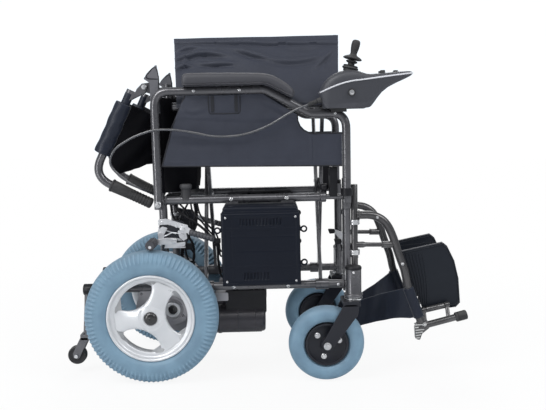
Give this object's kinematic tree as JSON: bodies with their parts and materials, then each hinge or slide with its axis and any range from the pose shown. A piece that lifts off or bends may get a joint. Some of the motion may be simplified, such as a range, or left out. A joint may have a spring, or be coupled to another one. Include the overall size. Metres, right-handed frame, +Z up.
{
  "type": "folding power wheelchair",
  "caption": "Folding power wheelchair shown folded: cross-brace frame, drive wheels, swivel casters, battery boxes, joystick, fold-down back and swing-away footrests.",
  "frame": {"origin": "on the floor under the middle of the folded chair's bounding box", "axes": "+X forward, +Y to the chair's left, +Z up"},
  "size_m": [1.0871, 0.392, 0.9151],
  "materials": {
    "black_cloth": "woven",
    "black_plastic": "fine grain",
    "black_steel": "satin black paint",
    "blue_tyre": "matt rubber",
    "cable_black": "satin",
    "gunmetal": "satin paint",
    "navy_plastic": "satin",
    "rim_silver": "satin silver paint",
    "rubber": "matt",
    "silver": "brushed",
    "slate_cloth": "woven",
    "slate_plastic": "satin"
  },
  "bodies": {
    "brace_a": {"brace_bars_a": "gunmetal"},
    "brace_b": {"brace_bars_b": "gunmetal"},
    "faster_button_body": {"faster_button": "rubber"},
    "right_arm": {"joystick_boot": "rubber", "joystick_pod": "slate_plastic", "right_arm_pad": "black_plastic", "right_arm_tube": "gunmetal", "right_side_panel": "slate_cloth"},
    "right_side": {"joystick_cable": "cable_black", "right_battery_box": "navy_plastic", "right_brake_bracket": "silver", "right_frame": "gunmetal", "right_motor": "black_steel"},
    "gimbal": {"joystick_gimbal": "silver"},
    "stick": {"joystick_stick": "rubber"},
    "left_tip_wheel": {"left_anti_tip_wheel": "rubber"},
    "left_arm": {"left_arm_pad": "black_plastic", "left_arm_tube": "gunmetal", "left_side_panel": "slate_cloth"},
    "left_side": {"left_battery_box": "navy_plastic", "left_brake_bracket": "silver", "left_frame": "gunmetal", "left_motor": "black_steel"},
    "left_brake_shoe": {"left_brake_bar": "silver"},
    "left_brake_lever": {"left_brake_handle": "black_plastic"},
    "left_strap": {"left_calf_strap": "black_cloth"},
    "left_caster": {"left_caster_rim": "black_steel", "left_caster_tyre": "blue_tyre"},
    "left_footplate": {"left_foot_plate": "black_plastic"},
    "left_swivel": {"left_fork": "black_steel"},
    "left_cane": {"left_grip": "rubber", "left_upper_cane": "gunmetal"},
    "left_latch": {"left_latch_lever": "silver"},
    "left_hanger": {"left_leg_tube": "black_steel"},
    "left_lower_back": {"left_lower_cloth": "black_cloth"},
    "left_wheel": {"left_rim": "rim_silver", "left_tyre": "blue_tyre"},
    "left_sling": {"left_seat_cloth": "slate_cloth"},
    "left_upper_back": {"left_upper_cloth": "black_cloth"},
    "power_button_body": {"power_button": "rubber"},
    "right_tip_wheel": {"right_anti_tip_wheel": "rubber"},
    "right_brake_shoe": {"right_brake_bar": "silver"},
    "right_brake_lever": {"right_brake_handle": "black_plastic"},
    "right_strap": {"right_calf_strap": "black_cloth"},
    "right_caster": {"right_caster_rim": "black_steel", "right_caster_tyre": "blue_tyre"},
    "right_footplate": {"right_foot_plate": "black_plastic"},
    "right_swivel": {"right_fork": "black_steel"},
    "right_cane": {"right_grip": "rubber", "right_upper_cane": "gunmetal"},
    "right_latch": {"right_latch_lever": "silver"},
    "right_hanger": {"right_leg_tube": "black_steel"},
    "right_lower_back": {"right_lower_cloth": "black_cloth"},
    "right_wheel": {"right_rim": "rim_silver", "right_tyre": "blue_tyre"},
    "right_sling": {"right_seat_cloth": "slate_cloth"},
    "right_upper_back": {"right_upper_cloth": "black_cloth"},
    "slower_button_body": {"slower_button": "rubber"}
  },
  "joints": [
    {"name": "fold", "type": "hinge", "parent": "right_side", "child": "brace_a", "pos_m": [-0.16634, -0.105, 0.24014], "axis": [-0.9997, 0, -0.0227], "range_deg": [0, 31.18], "deforming": ["right_seat_cloth", "right_lower_cloth", "right_upper_cloth", "right_calf_strap", "left_seat_cloth", "left_lower_cloth", "left_upper_cloth", "left_calf_strap"]},
    {"name": "fold_middle", "type": "hinge", "parent": "brace_a", "child": "brace_b", "pos_m": [-0.1718, 0, 0.48066], "axis": [-0.9997, 0, -0.0227], "range_deg": [-62.38, 0]},
    {"name": "fold_left_rail", "type": "hinge", "parent": "brace_b", "child": "left_side", "pos_m": [-0.16634, 0.105, 0.24014], "axis": [-0.9997, 0, -0.0227], "range_deg": [0, 31.19]},
    {"name": "left_seat_turn", "type": "hinge", "parent": "brace_a", "child": "left_sling", "pos_m": [-0.31622, 0.105, 0.71803], "axis": [-0.9997, 0, -0.0227], "range_deg": [-88.33, 0]},
    {"name": "right_seat_turn", "type": "hinge", "parent": "brace_b", "child": "right_sling", "pos_m": [-0.31622, -0.105, 0.71803], "axis": [-0.9997, 0, -0.0227], "range_deg": [0, 88.33]},
    {"name": "right_lower_back_turn", "type": "hinge", "parent": "right_side", "child": "right_lower_back", "pos_m": [-0.28923, -0.105, 0.63045], "axis": [-0.0227, 0, 0.9997], "range_deg": [0, 60.84]},
    {"name": "right_upper_back_turn", "type": "hinge", "parent": "right_cane", "child": "right_upper_back", "pos_m": [-0.35426, -0.105, 0.76366], "axis": [0.4274, 0, 0.9041], "range_deg": [0, 60.84]},
    {"name": "right_calf_strap_turn", "type": "hinge", "parent": "right_hanger", "child": "right_strap", "pos_m": [0.41709, -0.105, 0.13935], "axis": [0.3694, 0, -0.9293], "range_deg": [0, 60.84]},
    {"name": "right_footplate_down", "type": "hinge", "parent": "right_hanger", "child": "right_footplate", "pos_m": [0.4225, -0.084, 0.16548], "axis": [-0.973, 0, -0.2308], "range_deg": [0, 90.01]},
    {"name": "right_wheel_spin", "type": "hinge", "parent": "right_side", "child": "right_wheel", "pos_m": [-0.3039, -0.16, 0.175], "axis": [0, 1, 0], "continuous": true},
    {"name": "right_caster_swivel", "type": "hinge", "parent": "right_side", "child": "right_swivel", "pos_m": [0.22508, -0.152, 0.22601], "axis": [-0.0227, 0, 0.9997], "continuous": true},
    {"name": "right_caster_spin", "type": "hinge", "parent": "right_swivel", "child": "right_caster", "pos_m": [0.15512, -0.152, 0.1], "axis": [0, 1, 0], "continuous": true},
    {"name": "right_anti_tip_spin", "type": "hinge", "parent": "right_side", "child": "right_tip_wheel", "pos_m": [-0.51866, -0.105, 0.0516], "axis": [0, 1, 0], "continuous": true},
    {"name": "right_arm_flip", "type": "hinge", "parent": "right_side", "child": "right_arm", "pos_m": [-0.28551, -0.134, 0.46649], "axis": [0, -1, 0], "range_deg": [0, 100], "deforming": ["joystick_cable"]},
    {"name": "right_back_unfold", "type": "hinge", "parent": "right_side", "child": "right_cane", "pos_m": [-0.3204, -0.105, 0.76978], "axis": [0, 1, 0], "range_deg": [0, 153.4]},
    {"name": "right_hanger_swing", "type": "hinge", "parent": "right_side", "child": "right_hanger", "pos_m": [0.23249, -0.105, 0.34021], "axis": [0.0227, 0, -0.9997], "range_deg": [0, 90]},
    {"name": "right_latch_release", "type": "hinge", "parent": "right_hanger", "child": "right_latch", "pos_m": [0.23706, -0.09, 0.31531], "axis": [0, 1, 0], "range_deg": [-18, 0], "stiffness_Nm_per_rad": 0.5},
    {"name": "right_brake_apply", "type": "hinge", "parent": "right_side", "child": "right_brake_lever", "pos_m": [-0.22498, -0.116, 0.39985], "axis": [0, 1, 0], "range_deg": [0, 40]},
    {"name": "right_brake_bar_follow", "type": "hinge", "parent": "right_side", "child": "right_brake_shoe", "pos_m": [-0.24825, -0.116, 0.36731], "axis": [0, 1, 0], "range_deg": [-2.41, 0]},
    {"name": "left_lower_back_turn", "type": "hinge", "parent": "left_side", "child": "left_lower_back", "pos_m": [-0.28923, 0.105, 0.63045], "axis": [0.0227, 0, -0.9997], "range_deg": [0, 60.84]},
    {"name": "left_upper_back_turn", "type": "hinge", "parent": "left_cane", "child": "left_upper_back", "pos_m": [-0.35426, 0.105, 0.76366], "axis": [-0.4274, 0, -0.9041], "range_deg": [0, 60.84]},
    {"name": "left_calf_strap_turn", "type": "hinge", "parent": "left_hanger", "child": "left_strap", "pos_m": [0.41709, 0.105, 0.13935], "axis": [-0.3694, 0, 0.9293], "range_deg": [0, 60.84]},
    {"name": "left_footplate_down", "type": "hinge", "parent": "left_hanger", "child": "left_footplate", "pos_m": [0.4225, 0.084, 0.16548], "axis": [0.973, 0, 0.2308], "range_deg": [0, 90.01]},
    {"name": "left_wheel_spin", "type": "hinge", "parent": "left_side", "child": "left_wheel", "pos_m": [-0.3039, 0.16, 0.175], "axis": [0, 1, 0], "continuous": true},
    {"name": "left_caster_swivel", "type": "hinge", "parent": "left_side", "child": "left_swivel", "pos_m": [0.22508, 0.152, 0.22601], "axis": [-0.0227, 0, 0.9997], "continuous": true},
    {"name": "left_caster_spin", "type": "hinge", "parent": "left_swivel", "child": "left_caster", "pos_m": [0.15512, 0.152, 0.1], "axis": [0, 1, 0], "continuous": true},
    {"name": "left_anti_tip_spin", "type": "hinge", "parent": "left_side", "child": "left_tip_wheel", "pos_m": [-0.51866, 0.105, 0.0516], "axis": [0, 1, 0], "continuous": true},
    {"name": "left_arm_flip", "type": "hinge", "parent": "left_side", "child": "left_arm", "pos_m": [-0.28551, 0.134, 0.46649], "axis": [0, -1, 0], "range_deg": [0, 100]},
    {"name": "left_back_unfold", "type": "hinge", "parent": "left_side", "child": "left_cane", "pos_m": [-0.3204, 0.105, 0.76978], "axis": [0, 1, 0], "range_deg": [0, 153.4]},
    {"name": "left_hanger_swing", "type": "hinge", "parent": "left_side", "child": "left_hanger", "pos_m": [0.23249, 0.105, 0.34021], "axis": [-0.0227, 0, 0.9997], "range_deg": [0, 90]},
    {"name": "left_latch_release", "type": "hinge", "parent": "left_hanger", "child": "left_latch", "pos_m": [0.23706, 0.09, 0.31531], "axis": [0, 1, 0], "range_deg": [-18, 0], "stiffness_Nm_per_rad": 0.5},
    {"name": "left_brake_apply", "type": "hinge", "parent": "left_side", "child": "left_brake_lever", "pos_m": [-0.22498, 0.116, 0.39985], "axis": [0, 1, 0], "range_deg": [0, 40]},
    {"name": "left_brake_bar_follow", "type": "hinge", "parent": "left_side", "child": "left_brake_shoe", "pos_m": [-0.24825, 0.116, 0.36731], "axis": [0, 1, 0], "range_deg": [-2.41, 0]},
    {"name": "joystick_tip_side", "type": "hinge", "parent": "right_arm", "child": "gimbal", "pos_m": [0.20678, -0.157, 0.81175], "axis": [0.9997, 0, 0.0227], "range_deg": [-15, 15], "stiffness_Nm_per_rad": 0.3, "deforming": ["joystick_boot"]},
    {"name": "joystick_tip_fore", "type": "hinge", "parent": "gimbal", "child": "stick", "pos_m": [0.20678, -0.157, 0.81175], "axis": [0, 1, 0], "range_deg": [-15, 15], "stiffness_Nm_per_rad": 0.3, "deforming": ["joystick_boot"]},
    {"name": "power_button_press", "type": "slide", "parent": "right_arm", "child": "power_button_body", "axis": [-0.0227, 0, 0.9997], "range_m": [-0.0015, 0], "stiffness_N_per_m": 300},
    {"name": "slower_button_press", "type": "slide", "parent": "right_arm", "child": "slower_button_body", "axis": [-0.0227, 0, 0.9997], "range_m": [-0.0015, 0], "stiffness_N_per_m": 300},
    {"name": "faster_button_press", "type": "slide", "parent": "right_arm", "child": "faster_button_body", "axis": [-0.0227, 0, 0.9997], "range_m": [-0.0015, 0], "stiffness_N_per_m": 300}
  ],
  "couplings": [
    {"joint": "fold_middle", "follows": "fold", "ratio": -2},
    {"joint": "fold_left_rail", "follows": "fold", "ratio": 1},
    {"joint": "left_seat_turn", "follows": "fold", "ratio": -2.8322},
    {"joint": "right_seat_turn", "follows": "fold", "ratio": 2.8322},
    {"joint": "right_lower_back_turn", "follows": "fold", "ratio": 1.9507},
    {"joint": "right_upper_back_turn", "follows": "fold", "ratio": 1.9507},
    {"joint": "right_calf_strap_turn", "follows": "fold", "ratio": 1.9507},
    {"joint": "right_footplate_down", "follows": "fold", "ratio": 2.8861},
    {"joint": "right_brake_bar_follow", "follows": "right_brake_apply", "ratio": -0.06},
    {"joint": "left_lower_back_turn", "follows": "fold", "ratio": 1.9507},
    {"joint": "left_upper_back_turn", "follows": "fold", "ratio": 1.9507},
    {"joint": "left_calf_strap_turn", "follows": "fold", "ratio": 1.9507},
    {"joint": "left_footplate_down", "follows": "fold", "ratio": 2.8861},
    {"joint": "left_brake_bar_follow", "follows": "left_brake_apply", "ratio": -0.06}
  ]
}
